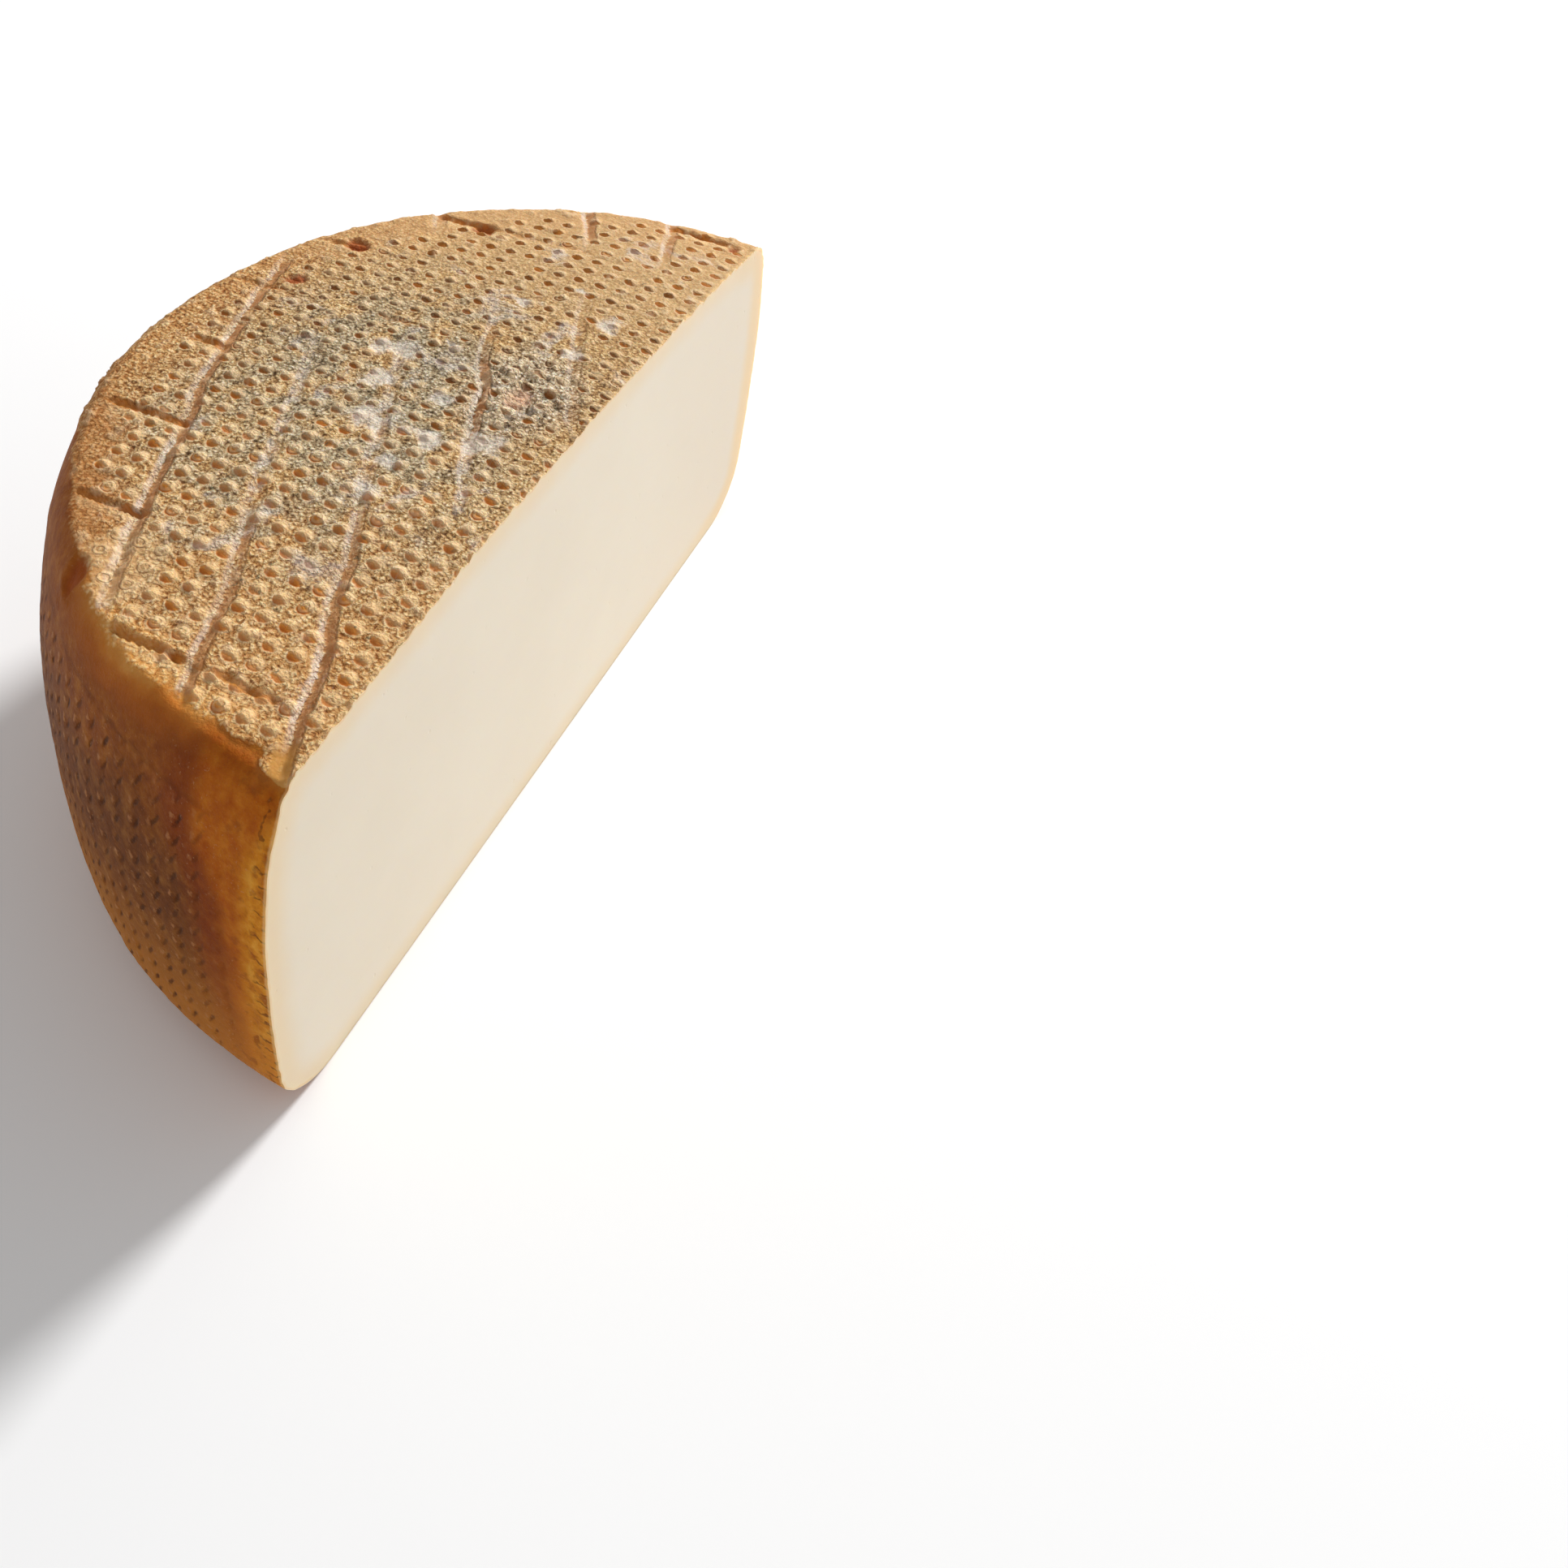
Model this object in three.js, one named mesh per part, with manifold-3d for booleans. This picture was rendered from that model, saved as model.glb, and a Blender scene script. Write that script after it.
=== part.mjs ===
// Half of a round pressed cheese, as cut: a low wheel with a rounded foot, sides that lean in
// towards the top, a slightly crowned top pressed with rows of small domes, and one flat cut face.
//
// Millimetres, +Z up. The cheese rests on z = 0 and its cut face looks towards -Y. While it is
// worked out, the wheel's axis stands at x = y = 0; the finished half is then moved so that the
// middle of its bounding box lies over the origin.

import * as THREE from 'three';
import { mergeVertices } from 'three/addons/utils/BufferGeometryUtils.js';
import Module from 'manifold-3d';

// Section of the wheel
const WHEEL_RADIUS = 125;      // widest, at the belly
const BELLY_HEIGHT = 16.6;     // height at which the wheel is widest
const FOOT_RADIUS = 106.8;     // radius of the flat base
const RIM_RADIUS = 107.7;      // radius at which the shoulder runs out into the top
const RIM_HEIGHT = 97.8;       // height of the top at that radius
const CROWN_RISE = 4.9;        // how far the middle of the top stands above its rim
const CUT_OFFSET = 9.5;        // distance of the cut face from the wheel's axis
const OUT_OF_ROUND = 0.3;      // how far the side strays from a true circle
const OUT_OF_ROUND_LOBES = 3;

// Domes pressed into the top by the mould plate. Columns run away from the cut face, rows run along
// it. Row 0 and column 0 meet at PATTERN_X, PATTERN_Y.
const PATTERN_X = 2.36;
const PATTERN_Y = 47.6;
const COLUMN_PITCH = 5.482;
const ROW_PITCH = 5.22;
const ROW_RISE = 0.175;        // a row moves away from the cut by this much per column
const COLUMN_LEAN = -0.297;    // a column moves sideways by this much per row
const COLUMN_FAN = -0.02525;   // and by this much more for each column
const COLUMN_CROWD = -0.00029; // outer columns stand closer, with the cube of the column number
const ROW_BEND = -0.00016;     // outer ends of a row turn back, with the cube of the column number
const ROW_CROWD = -0.0134;     // far rows stand closer, with the square of the row number
const COLUMNS_EACH_WAY = 20;
const FIRST_ROW = -8;
const LAST_ROW = 13;
const PATTERN_RADIUS = 106;    // no domes outside this radius

const DOME_RADIUS = 1.9;
const DOME_HEIGHT = 0.95;
const DOME_HEIGHT_SPREAD = 0.35;
const DOME_SUNK = 0.25;        // how far a dome's solid reaches into the wheel
const DOME_SIDES = 6;
const WORN_DOME_HEIGHT = 0.55; // domes beside a seam of the plate are worn down

// Seams of the mould plate: every fifth column, with worn domes; where a range of rows is given in
// SEAM_CREASES the seam has also left a crease.
const SEAM_EVERY = 5;
const SEAM_AT = 2.6;           // position of a seam between columns, in column pitches
const SEAM_CREASES = [
  { seam: -4, rows: [-7.2, 0.9], width: 2.6 },
  { seam: -3, rows: [3.2, 7.0], width: 2.0 },
  { seam: -2, rows: [3.6, 9.6], width: 1.8 },
  { seam: -1, rows: [4.6, 9.8], width: 1.4 },
  { seam: 0, rows: [2.4, 11.2], width: 1.4 },
  { seam: 1, rows: [6.8, 9.6], width: 1.6 },
  { seam: 2, rows: [-1.4, 6.2], width: 2.6 },
  { seam: 3, rows: [-6.6, -3.2], width: 2.4 },
];

// Creases left by folds of the cheese cloth, as [x, y] from the wheel's axis, one after another
// from the left. All run the same way, up and to the right seen from above.
const FOLD_WIDTH = 2.4;
const FOLDS = [
  [[-90, 60.5], [-55, 75.5], [-12.5, 91.5], [11, 99], [32, 103.5]],
  [[-107, 35], [-74, 46], [-41.5, 60.5], [-16, 70], [4, 77]],
  [[-112, 11], [-81, 21.5], [-41.5, 38.5], [-9, 52], [12, 60.5]],
  [[-36.5, 19], [-10, 31.5], [21, 45.5], [39, 51]],
  [[-1, 12], [15.5, 21.5], [37.5, 31], [56, 37.5]],
  [[72, 44], [92.5, 54.5], [103, 60]],
  [[73, 24.5], [96, 31.5], [110, 37]],
  [[59.5, 80], [67, 84], [72, 89]],
];
const FOLD_CLEARANCE = 2.3;    // no dome stands closer than this to the middle of a fold

// Places where the crust has broken away, as [x, y, radius, depth]: along the shoulder beside the
// cut, on the seams near the far rim, and a scar in the middle.
const SCARS = [
  [-105, 19.5, 4, 0.9],
  [-84, 72, 4.5, 0.8],
  [68.4, 71.4, 4, 1.1],
  [42.5, 91.8, 4, 0.9],
  [20.4, 94.3, 3, 0.7],
  [101, 14.5, 3.5, 0.9],
  [4.3, 27.2, 5, 0.6],
];

// Fineness of the mesh
const WHEEL_SEGMENTS = 72;
const CROWN_SEGMENTS = 16;
const CROWN_RINGS = 2;
const SHOULDER_STEPS = 8;
const FOOT_STEPS = 4;
const CREASE_SIDES = 4;
const CREASE_STEP = 8;         // length of one straight piece of a crease
const SCAR_DETAIL = 1;
const ROOM = 20;               // how far the cutting solids reach past the wheel

const wasm = await Module();
wasm.setup();

// ---------------------------------------------------------------------------------------------
// Joining and cutting

function solidOf(geometry) {
  const bare = geometry.clone();
  bare.deleteAttribute('normal');
  bare.deleteAttribute('uv');
  const merged = mergeVertices(bare, 1e-4);
  const vertices = merged.attributes.position.array;
  const corners = merged.index.array;
  const kept = [];
  for (let i = 0; i < corners.length; i += 3) {
    const [a, b, c] = [corners[i], corners[i + 1], corners[i + 2]];
    if (a !== b && b !== c && c !== a) kept.push(a, b, c);
  }
  if (signedVolume(vertices, kept) < 0) kept.reverse();
  return new wasm.Manifold(new wasm.Mesh({
    numProp: 3,
    vertProperties: new Float32Array(vertices),
    triVerts: new Uint32Array(kept),
  }));
}

function signedVolume(vertices, corners) {
  const point = (corner) => new THREE.Vector3().fromArray(vertices, 3 * corner);
  let sum = 0;
  for (let i = 0; i < corners.length; i += 3) {
    const normal = point(corners[i + 1]).cross(point(corners[i + 2]));
    sum += point(corners[i]).dot(normal) / 6;
  }
  return sum;
}

function geometryOf(solid) {
  const mesh = solid.getMesh();
  const geometry = new THREE.BufferGeometry();
  geometry.setAttribute('position', new THREE.BufferAttribute(mesh.vertProperties, 3));
  geometry.setIndex(new THREE.BufferAttribute(mesh.triVerts, 1));
  return geometry;
}

// ---------------------------------------------------------------------------------------------
// The wheel

// Height of the wheel's top outline at a distance from the axis: the crown inside the rim, the
// shoulder outside it.
function outlineHeight(radius) {
  if (radius <= RIM_RADIUS) return RIM_HEIGHT + CROWN_RISE * (1 - (radius / RIM_RADIUS) ** 2);
  const out = Math.min((radius - RIM_RADIUS) / (WHEEL_RADIUS - RIM_RADIUS), 1);
  return BELLY_HEIGHT + (RIM_HEIGHT - BELLY_HEIGHT) * Math.sqrt(1 - out * out);
}

// Height of the top at a point. The crown is made of flat facets, and this follows them, so that
// what stands on it neither sinks nor floats.
function topHeight(point) {
  const radius = point.length();
  const facet = (2 * Math.PI) / CROWN_SEGMENTS;
  const turn = THREE.MathUtils.euclideanModulo(point.angle(), facet) - facet / 2;
  const reach = (radius * Math.cos(turn)) / Math.cos(facet / 2);
  if (reach >= RIM_RADIUS) return outlineHeight(radius);
  const ringWidth = RIM_RADIUS / CROWN_RINGS;
  const ring = Math.floor(reach / ringWidth);
  const inner = outlineHeight(ring * ringWidth);
  const outer = outlineHeight((ring + 1) * ringWidth);
  return THREE.MathUtils.lerp(inner, outer, reach / ringWidth - ring);
}

// Two quarter ellipses make the side: one from the base to the belly, one from there to the rim.
function sidePoints() {
  const points = [];
  for (let i = 0; i <= FOOT_STEPS; i += 1) {
    const angle = (i / FOOT_STEPS) * (Math.PI / 2);
    const radius = FOOT_RADIUS + (WHEEL_RADIUS - FOOT_RADIUS) * Math.sin(angle);
    points.push(new THREE.Vector2(radius, BELLY_HEIGHT * (1 - Math.cos(angle))));
  }
  for (let i = 1; i <= SHOULDER_STEPS; i += 1) {
    const angle = (i / SHOULDER_STEPS) * (Math.PI / 2);
    const radius = RIM_RADIUS + (WHEEL_RADIUS - RIM_RADIUS) * Math.cos(angle);
    points.push(new THREE.Vector2(radius, BELLY_HEIGHT + (RIM_HEIGHT - BELLY_HEIGHT) * Math.sin(angle)));
  }
  return points;
}

// A profile turned about the wheel's axis, +Z up.
function turned(points, segments) {
  const geometry = new THREE.LatheGeometry(points, segments);
  geometry.rotateX(Math.PI / 2);
  return geometry;
}

// Pushes every point of the side in or out by a small wave round the wheel.
function stray(geometry) {
  const position = geometry.attributes.position;
  for (let i = 0; i < position.count; i += 1) {
    const x = position.getX(i);
    const y = position.getY(i);
    const radius = Math.hypot(x, y);
    if (radius < FOOT_RADIUS / 2) continue;
    const wave = Math.sin(OUT_OF_ROUND_LOBES * Math.atan2(y, x));
    const scale = 1 + (OUT_OF_ROUND * wave) / radius;
    position.setXY(i, x * scale, y * scale);
  }
  return geometry;
}

// The side stands under a blunt cone that the crown then trims.
function wheelBody() {
  const profile = [new THREE.Vector2(0, 0), ...sidePoints()];
  profile.push(new THREE.Vector2(0, RIM_HEIGHT + 2 * CROWN_RISE + 1));
  return solidOf(stray(turned(profile, WHEEL_SEGMENTS)));
}

function crownBody() {
  const reach = WHEEL_RADIUS + ROOM;
  const profile = [new THREE.Vector2(0, -ROOM), new THREE.Vector2(reach, -ROOM)];
  profile.push(new THREE.Vector2(reach, RIM_HEIGHT));
  for (let i = CROWN_RINGS; i >= 0; i -= 1) {
    const radius = (RIM_RADIUS * i) / CROWN_RINGS;
    profile.push(new THREE.Vector2(radius, outlineHeight(radius)));
  }
  return solidOf(turned(profile, CROWN_SEGMENTS));
}

function cutAwayHalf() {
  const side = 2 * (WHEEL_RADIUS + ROOM);
  const box = new THREE.BoxGeometry(side, side, side);
  box.translate(0, CUT_OFFSET - side / 2, 0);
  return solidOf(box);
}

// ---------------------------------------------------------------------------------------------
// Relief of the top

// Where a column and a row of the pattern meet. Both may be fractions.
function patternPoint(column, row) {
  const x = PATTERN_X + COLUMN_PITCH * column + COLUMN_LEAN * row
    + COLUMN_FAN * column * row + COLUMN_CROWD * column ** 3;
  const y = PATTERN_Y + ROW_PITCH * row + ROW_RISE * column
    + ROW_CROWD * row ** 2 + ROW_BEND * column ** 3;
  return new THREE.Vector2(x, y);
}

// A steady value from 0 to 1 for each place in the pattern.
function chance(column, row) {
  const value = Math.sin(column * 12.9898 + row * 78.233) * 43758.5453;
  return value - Math.floor(value);
}

function distanceToLine(point, line) {
  let nearest = Infinity;
  for (let i = 1; i < line.length; i += 1) {
    const start = new THREE.Vector2(...line[i - 1]);
    const run = new THREE.Vector2(...line[i]).sub(start);
    const along = THREE.MathUtils.clamp(point.clone().sub(start).dot(run) / run.lengthSq(), 0, 1);
    nearest = Math.min(nearest, point.distanceTo(start.addScaledVector(run, along)));
  }
  return nearest;
}

// A six-sided dome, standing on the top at a point.
function dome(point, height, turn) {
  const tall = height + DOME_SUNK;
  const geometry = new THREE.ConeGeometry((DOME_RADIUS * tall) / height, tall, DOME_SIDES);
  geometry.rotateX(Math.PI / 2);
  geometry.rotateZ(turn);
  geometry.translate(point.x, point.y, topHeight(point) - DOME_SUNK + tall / 2);
  return solidOf(geometry);
}

function besideSeam(column) {
  const place = (((column - SEAM_AT) % SEAM_EVERY) + SEAM_EVERY) % SEAM_EVERY;
  return place < 0.5;
}

function domes() {
  const solids = [];
  for (let column = -COLUMNS_EACH_WAY; column <= COLUMNS_EACH_WAY; column += 1) {
    for (let row = FIRST_ROW; row <= LAST_ROW; row += 1) {
      const point = patternPoint(column, row);
      const onTop = point.length() < PATTERN_RADIUS && point.y > CUT_OFFSET - DOME_RADIUS;
      const inFold = FOLDS.some((fold) => distanceToLine(point, fold) < FOLD_CLEARANCE);
      if (!onTop || inFold) continue;
      const full = DOME_HEIGHT - DOME_HEIGHT_SPREAD * chance(column, row);
      const height = besideSeam(column) ? Math.min(full, WORN_DOME_HEIGHT) : full;
      solids.push(dome(point, height, chance(row, column) * Math.PI));
    }
  }
  return solids;
}

// A crease is what a thin square rod takes away, laid along the surface with one edge down.
function crease(line, width) {
  const flat = new THREE.CurvePath();
  for (let i = 1; i < line.length; i += 1) {
    flat.add(new THREE.LineCurve(new THREE.Vector2(...line[i - 1]), new THREE.Vector2(...line[i])));
  }
  const steps = Math.ceil(flat.getLength() / CREASE_STEP);
  const points = flat.getSpacedPoints(steps);
  const path = new THREE.CatmullRomCurve3(points.map((p) => new THREE.Vector3(p.x, p.y, topHeight(p))));
  const section = new THREE.Shape();
  for (let i = 0; i < CREASE_SIDES; i += 1) {
    const angle = (2 * Math.PI * i) / CREASE_SIDES;
    const corner = [(width / 2) * Math.cos(angle), (width / 2) * Math.sin(angle)];
    if (i === 0) section.moveTo(...corner);
    else section.lineTo(...corner);
  }
  section.closePath();
  return solidOf(new THREE.ExtrudeGeometry(section, { steps, bevelEnabled: false, extrudePath: path }));
}

function creases() {
  const folds = FOLDS.map((fold) => crease(fold, FOLD_WIDTH));
  const seams = SEAM_CREASES.map(({ seam, rows, width }) => {
    const column = SEAM_AT + SEAM_EVERY * seam;
    const line = rows.map((row) => patternPoint(column, row).toArray());
    return crease(line, width);
  });
  return [...folds, ...seams];
}

// A scar is the shallow cap that a round tool of many flats takes away.
function scar([x, y, radius, depth]) {
  const ball = (radius * radius + depth * depth) / (2 * depth);
  const geometry = new THREE.IcosahedronGeometry(ball, SCAR_DETAIL);
  geometry.translate(x, y, topHeight(new THREE.Vector2(x, y)) + ball - depth);
  return solidOf(geometry);
}

// ---------------------------------------------------------------------------------------------
// The half wheel

let cheese = wheelBody().intersect(crownBody());
for (const solid of domes()) cheese = cheese.add(solid);
for (const solid of [...creases(), ...SCARS.map(scar)]) cheese = cheese.subtract(solid);
cheese = cheese.subtract(cutAwayHalf());

const geometry = geometryOf(cheese);
geometry.computeBoundingBox();
const middle = geometry.boundingBox.getCenter(new THREE.Vector3());
geometry.translate(-middle.x, -middle.y, 0);

const rind = new THREE.MeshStandardMaterial({ color: '#c39a63', roughness: 0.75, metalness: 0 });
const half = new THREE.Mesh(geometry, rind);
half.name = 'cheese_half';

const group = new THREE.Group();
group.add(half);

export default group;
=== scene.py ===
"""Looks of half a round pressed cheese, as cut: crusty top with rows of small domes, creases left by
folds of cloth and seams of the mould, a waxy brown side and a smooth ivory cut face.

Lengths are in millimetres with the wheel's axis at x = y = 0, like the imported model's source. The
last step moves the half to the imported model's place, in metres, and the materials read places there.
"""

from types import SimpleNamespace

import bpy
import numpy as np
from mathutils import Matrix, Vector
from mathutils.geometry import delaunay_2d_cdt


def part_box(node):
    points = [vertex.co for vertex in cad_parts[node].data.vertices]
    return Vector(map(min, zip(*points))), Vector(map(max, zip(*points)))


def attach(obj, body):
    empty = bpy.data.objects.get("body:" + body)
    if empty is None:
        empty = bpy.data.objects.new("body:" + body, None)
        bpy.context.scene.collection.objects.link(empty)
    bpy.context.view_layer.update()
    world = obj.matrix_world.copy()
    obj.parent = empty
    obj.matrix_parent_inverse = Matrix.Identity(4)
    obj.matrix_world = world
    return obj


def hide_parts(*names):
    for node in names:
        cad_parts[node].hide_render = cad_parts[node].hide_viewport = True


MM = 0.001

# Section of the wheel
WHEEL_RADIUS = 125.0
BELLY_HEIGHT = 16.6
FOOT_RADIUS = 106.8
RIM_RADIUS = 107.7
RIM_HEIGHT = 97.8
CROWN_RISE = 4.9
CUT_OFFSET = 9.5
OUT_OF_ROUND = 0.3
OUT_OF_ROUND_LOBES = 3

# Rows and columns of domes on the top
PATTERN_X = 3.3
PATTERN_Y = 47.6
COLUMN_PITCH = 5.482
ROW_PITCH = 5.22
ROW_RISE = 0.175
COLUMN_LEAN = -0.297
COLUMN_FAN = -0.02525
COLUMN_CROWD = -0.00029
ROW_BEND = -0.00016
ROW_CROWD = -0.0134
PATTERN_STRAY = 0.35
PATTERN_REACH = [(0, 106), (25, 106), (55, 99), (104, 100), (120, 105), (180, 106)]  # radius over degrees
PATTERN_SEARCHES = 25        # rounds it takes to find the column and row of a point

# One dome
DOME_RADIUS = 1.9
DOME_HEIGHT = 1.0
DOME_HEIGHT_SPREAD = 0.45
WORN_DOME_HEIGHT = 0.4
LEAST_DOME_SIZE, DOME_SIZE_SPREAD = 0.82, 0.30
DOME_RAGS = 0.22
DOME_STEEP = (-0.97, 0.24)   # towards this side a dome is steep and bare, and its colour there is partly painted shade
DOME_STEEP_SHARE = 0.85      # how much shorter it is there
DOME_GENTLE_SHARE = 1.1      # and how much longer on the other side
MISSING_SHARE = 0.03
FAR_DOME_SHARE = 0.9         # how wide the domes of the far half are, compared with the near ones
FAR_LOWER = 0.35             # how much lower the far domes are, and those beside the cut
FLATTENED = (-80, 66)        # middle of a patch at the rim where the domes are pressed flat

# Seams of the mould plate, which wear down every fifth column of domes
SEAM_EVERY = 5
SEAM_AT = 2.6
# and creases that some of them leave: the column, from which row to which, and how deep
SEAM_CREASES = [
    (-18.0, -4.8, -1.7, 1.0),
    (-18.0, -0.9, 2.4, 1.7),
    (-12.8, 4.7, 8.0, 1.6),
    (-7.6, 6.5, 10.4, 1.2),
    (-2.4, 8.4, 10.3, 0.8),
    (2.7, 2.4, 4.0, 0.4),
    (2.7, 9.0, 11.4, 0.6),
    (7.7, 7.6, 9.8, 0.8),
    (12.6, -1.4, 3.3, 0.4),
    (12.6, 3.5, 6.6, 1.3),
    (17.6, -6.6, -3.2, 1.2),
]

# Creases left by folds of the cheese cloth: how deep at the start, middle and end, and each [x, y] in turn
FOLDS = [
    ((1.2, 0.85, 0.7), [(-91.3, 60.6), (-81.2, 65.8), (-67.4, 71.3), (-55.6, 75.9), (-40, 81.1),
                        (-24.6, 87.5), (-12.8, 90.9), (11, 98.1), (32.3, 103.3)]),
    ((1.1, 0.5, 0.3), [(-104.1, 35.2), (-94.8, 38.9), (-83.3, 42.8), (-74, 45.3), (-53.5, 55.0),
                       (-41.6, 59.8), (-31.5, 63.2), (-16.1, 69.2), (-10.3, 72.0), (4.3, 76.7)]),
    ((1.5, 0.6, 0.4), [(-118, 9.2), (-106.3, 12.7), (-95.3, 16.1), (-80.8, 20.7), (-68.9, 26.7),
                       (-58.6, 29.7), (-41.6, 37.7), (-29.8, 42.5), (-22.1, 45.5), (-9.4, 51.0),
                       (11.9, 59.5)]),
    ((0.4, 0.9, 0.3), [(-36.5, 17.8), (-24.6, 23.8), (-10.3, 30.2), (4.3, 35.7), (11, 40.0), (21.3, 44.2),
                       (32.3, 47.2), (39.1, 49.7)]),
    ((0.6, 0.6, 0.3), [(-0.9, 9.9), (5.1, 14.1), (15.3, 19.3), (27.3, 24.4), (37.4, 28.6), (44.3, 31.6),
                       (56.1, 35.4)]),
    ((0.5, 1.0, 1.3), [(72.3, 43.5), (80.8, 47.2), (92.6, 53.6), (103, 59.2)]),
    ((0.2, 0.7, 1.0), [(73.1, 24.0), (85, 27.4), (96, 30.9), (108, 35.4)]),
    ((0.4, 0.8, 0.8), [(59.5, 79.4), (67.1, 83.3), (73, 88.0)]),
]
FOLD_CLEARANCE = 1.3
FOLD_LIT_WIDTH, FOLD_SHADED_WIDTH = 1.25, 1.2
CREASE_SIDES = (3.8, 2.6)    # distances from a crease between which its mark comes in
DEEPEST_MARK = 1.2           # a crease deeper than this looks no stronger

# Places where the crust has broken away: x, y, radius, depth
SCARS = [
    (-84, 72, 4.0, 0.8),
    (68.4, 71.4, 3.6, 1.1),
    (42.5, 91.8, 3.4, 0.9),
    (20.4, 94.3, 2.6, 0.7),
    (101, 14.5, 2.2, 0.5),
    (4.3, 27.2, 4.6, 0.55),
]

# White mould: x, y, radius
MOULD = [(54, 36, 2.2), (27, 24, 3), (44, 24, 4), (42, 45, 2.6), (7, 60, 4.5), (-5, 57, 4), (-14, 26, 4.5),
         (-18, 35, 3.5), (-18, 50, 4.5), (-28, 40, 2.8), (-5, 42, 3), (100, 62, 2.5)]

# Crumbly crust left of the middle of the cut: x, y, radius
CRAGS = (7, 27, 22)

# Border of the dry crust on the shoulder, and the width over which it fades, over direction in degrees
CRUST_BORDER = [(0, 121), (20, 124), (88, 126), (98, 123), (108, 117), (116, 113), (126, 111), (132, 110),
                (137, 108.8), (142, 110), (148, 110), (155, 109), (160, 107), (166, 106), (169.5, 106),
                (171.5, 109.5), (180, 110.5)]
CRUST_FADE = [(0, 1.2), (95, 1.5), (106, 2.5), (130, 3.2), (150, 3.6), (162, 3), (167, 0.7), (180, 0.5)]
CRUST_STEP = 0.45
WIDEST_FADE = 3.6
SHARP_FADE = 1.5

# Dimples of the wall: pitches, and the direction and height of one of them
WALL_COLUMN = np.radians(2.724)
WALL_ROW = 5.02
WALL_DIRECTION = np.radians(162.27)
WALL_HEIGHT = 91.1
WALL_RISE = 0.058            # rows a column lies higher than the one before
WALL_STRAY = 0.10
DIMPLE_DEPTH = 0.4

# Lumps of the surface: how much, size and seed of each noise
BROAD_LUMPS = (0.30, 38, 4)
MIDDLE_LUMPS = (0.20, 13, 5)
CRUST_LUMPS = [(0.17, 4.5, 6), (0.15, 2.3, 7), (0.12, 1.5, 8)]
SHOULDER_LUMPS = [(0.17, 4.5, 6), (0.13, 2.3, 7)]
WALL_LUMPS = [(0.09, 3.4, 24), (0.12, 7, 25)]
BORDER_RAGS = [(1.8, 9, 31), (1.3, 4, 32), (0.6, 2.1, 33)]
FLAKE_LUMPS = [(1.0, 3.2, 10), (0.5, 1.7, 11)]
CRAG_LUMPS = [(0.4, 1.9, 15), (0.3, 3.4, 19)]
TEETH = [(1.0, 1.5, 16), (0.6, 4.0, 17)]
TOOTH_HEIGHT = 0.65
HOLLOW_TEETH = -0.3

# What a mask says where nothing sets it, if it isn't 0
FAR = 4.0                    # how far from a crease its distance is still told
USUAL = {"plain": 1.0, "fold_off": FAR, "seam_off": FAR, "past": FAR}
AWAY_FROM_CUT = 60.0

# Fineness
TOP_REACH = 122.0            # the top's grid ends at this distance from the axis, along the surface
MIDDLE_REACH = 40            # within it the grid isn't fitted to the cut
COLUMNS, ROWS = 360, 176
SIDE_ROWS = 70
SOLE_STEP, BASE_STEP, BASE_MARGIN = 3.0, 3.2, 1.2
TOP_SINK = 0.4               # the top's field lies this far under the outline, so that domes end at it
WALL_SINK = 0.35
# Points of the cut face: their step, and between which distances from the rind
CUT_STEPS = ((0.8, 0.35, 1.6), (1.5, 1.3, 6), (3.6, 5.5, 1e3))

rng = np.random.default_rng(8)
HASH_SIZE = 1024
HASH = rng.permutation(HASH_SIZE)
GRADIENTS = rng.normal(size=(HASH_SIZE, 3))
GRADIENTS /= np.linalg.norm(GRADIENTS, axis=1)[:, None]


# ---- Numbers


def smooth(low, high, x):
    """A soft step from 0 at low to 1 at high; low may be the greater."""
    t = np.clip((x - low) / (high - low), 0, 1)
    return t * t * (3 - 2 * t)


def hump(x, width):
    return np.exp(-((x / width) ** 2))


def noise(points, size, seed=0):
    """Gradient noise, about -1 to 1, with features of the given size."""
    q = points / size + seed * np.array([17.31, 5.73, 11.19])
    cell = np.floor(q).astype(int)
    part = q - cell
    fade = part**3 * (part * (part * 6 - 15) + 10)
    total = np.zeros(len(q))
    for corner in np.ndindex(2, 2, 2):
        x, y, z = ((cell + corner) % HASH_SIZE).T
        key = HASH[(x + HASH[(y + HASH[z]) % HASH_SIZE]) % HASH_SIZE]
        weight = np.where(corner, fade, 1 - fade).prod(1)
        total += weight * ((part - corner) * GRADIENTS[key]).sum(1)
    return 1.7 * total


def lumps(points, *kinds):
    return sum(amount * noise(points, size, seed) for amount, size, seed in kinds)


def chance(column, row):
    """A number between 0 and 1 that seems random, the same each time for one column and row."""
    value = np.sin(column * 12.9898 + row * 78.233) * 43758.5453
    return value - np.floor(value)


def by_direction(direction, table):
    """Values from a table over degrees."""
    return np.interp(np.degrees(direction), *np.array(table, float).T)


def line_distance(points, line):
    """Distance to a broken line, which side a point is on (1 is left of its run), and the way along it."""
    line = np.array(line, float)
    best = np.full(len(points), 1e9)
    side = np.ones(len(points))
    way = np.zeros(len(points))
    before = 0.0
    for start, end in zip(line[:-1], line[1:]):
        run = end - start
        length = np.hypot(*run)
        along = np.clip((points - start) @ run / length**2, 0, 1)
        off = points - start - along[:, None] * run
        distance = np.hypot(*off.T)
        nearer = distance < best
        best = np.where(nearer, distance, best)
        side = np.where(nearer, np.sign(run[0] * off[:, 1] - run[1] * off[:, 0]), side)
        way = np.where(nearer, before + along * length, way)
        before += length
    return best, side, way, before


# ---- The wheel's section and the pattern of the top


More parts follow.
